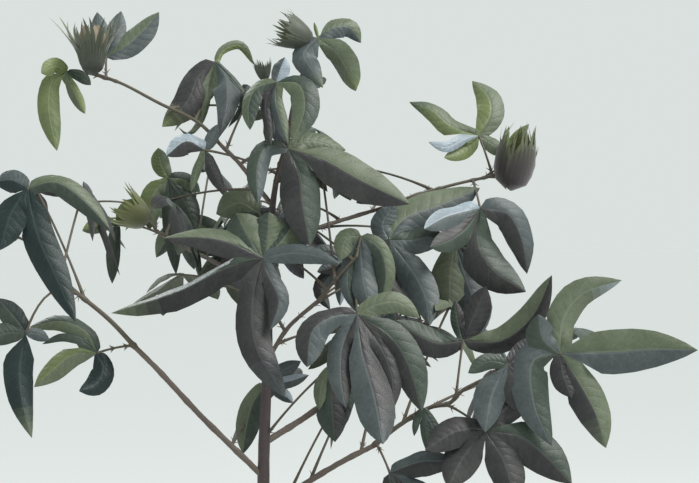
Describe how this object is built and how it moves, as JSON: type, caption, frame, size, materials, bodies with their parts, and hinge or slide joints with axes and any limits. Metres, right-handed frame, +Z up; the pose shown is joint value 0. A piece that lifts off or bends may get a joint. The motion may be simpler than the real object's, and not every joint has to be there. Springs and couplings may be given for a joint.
{
  "type": "cotton plant",
  "caption": "Cotton plant rooted in the ground: an upright stem with side boughs, deeply lobed leaves and flower buds in fringed bracts.",
  "frame": {"origin": "centre of the flat cut under the main stem, at ground level", "axes": "+Z up along the stem; +X to the right and +Y away from the viewer, seen from the pictured side"},
  "size_m": [0.6372, 0.6072, 1.0048],
  "materials": {
    "stem": "matte bark",
    "bough": "satin purple-brown bark",
    "foliage": "satin leaves"
  },
  "bodies": {
    "root": {"stem": "stem", "bough_upper_left": "bough", "foliage_upper_left": "foliage", "bough_upper_right": "bough", "foliage_upper_right": "foliage", "bough_middle_right": "bough", "foliage_middle_right": "foliage", "bough_lower_left": "bough", "foliage_lower_left": "foliage", "bough_lower_right": "bough", "foliage_lower_right": "foliage", "bough_back_left": "bough", "foliage_back_left": "foliage", "bough_behind": "bough", "foliage_behind": "foliage", "bough_lower_1": "bough", "foliage_lower_1": "foliage", "bough_lower_2": "bough", "foliage_lower_2": "foliage", "bough_lower_3": "bough", "foliage_lower_3": "foliage", "bough_lower_4": "bough", "foliage_lower_4": "foliage", "bough_lower_5": "bough", "foliage_lower_5": "foliage", "bough_lower_6": "bough", "foliage_lower_6": "foliage", "bough_lower_7": "bough", "foliage_lower_7": "foliage", "bough_lower_8": "bough", "foliage_lower_8": "foliage", "leaf_right_of_tip": "foliage", "leaf_left_of_tip": "foliage", "leaf_front": "foliage", "leaf_round_left": "foliage", "leaf_low_left": "foliage", "leaf_low_right": "foliage", "foliage_tip": "foliage", "leaf_stem_1": "foliage", "leaf_stem_2": "foliage", "leaf_stem_3": "foliage", "leaf_stem_4": "foliage", "leaf_stem_5": "foliage", "leaf_stem_6": "foliage", "leaf_stem_7": "foliage", "leaf_stem_8": "foliage"}
  },
  "joints": []
}
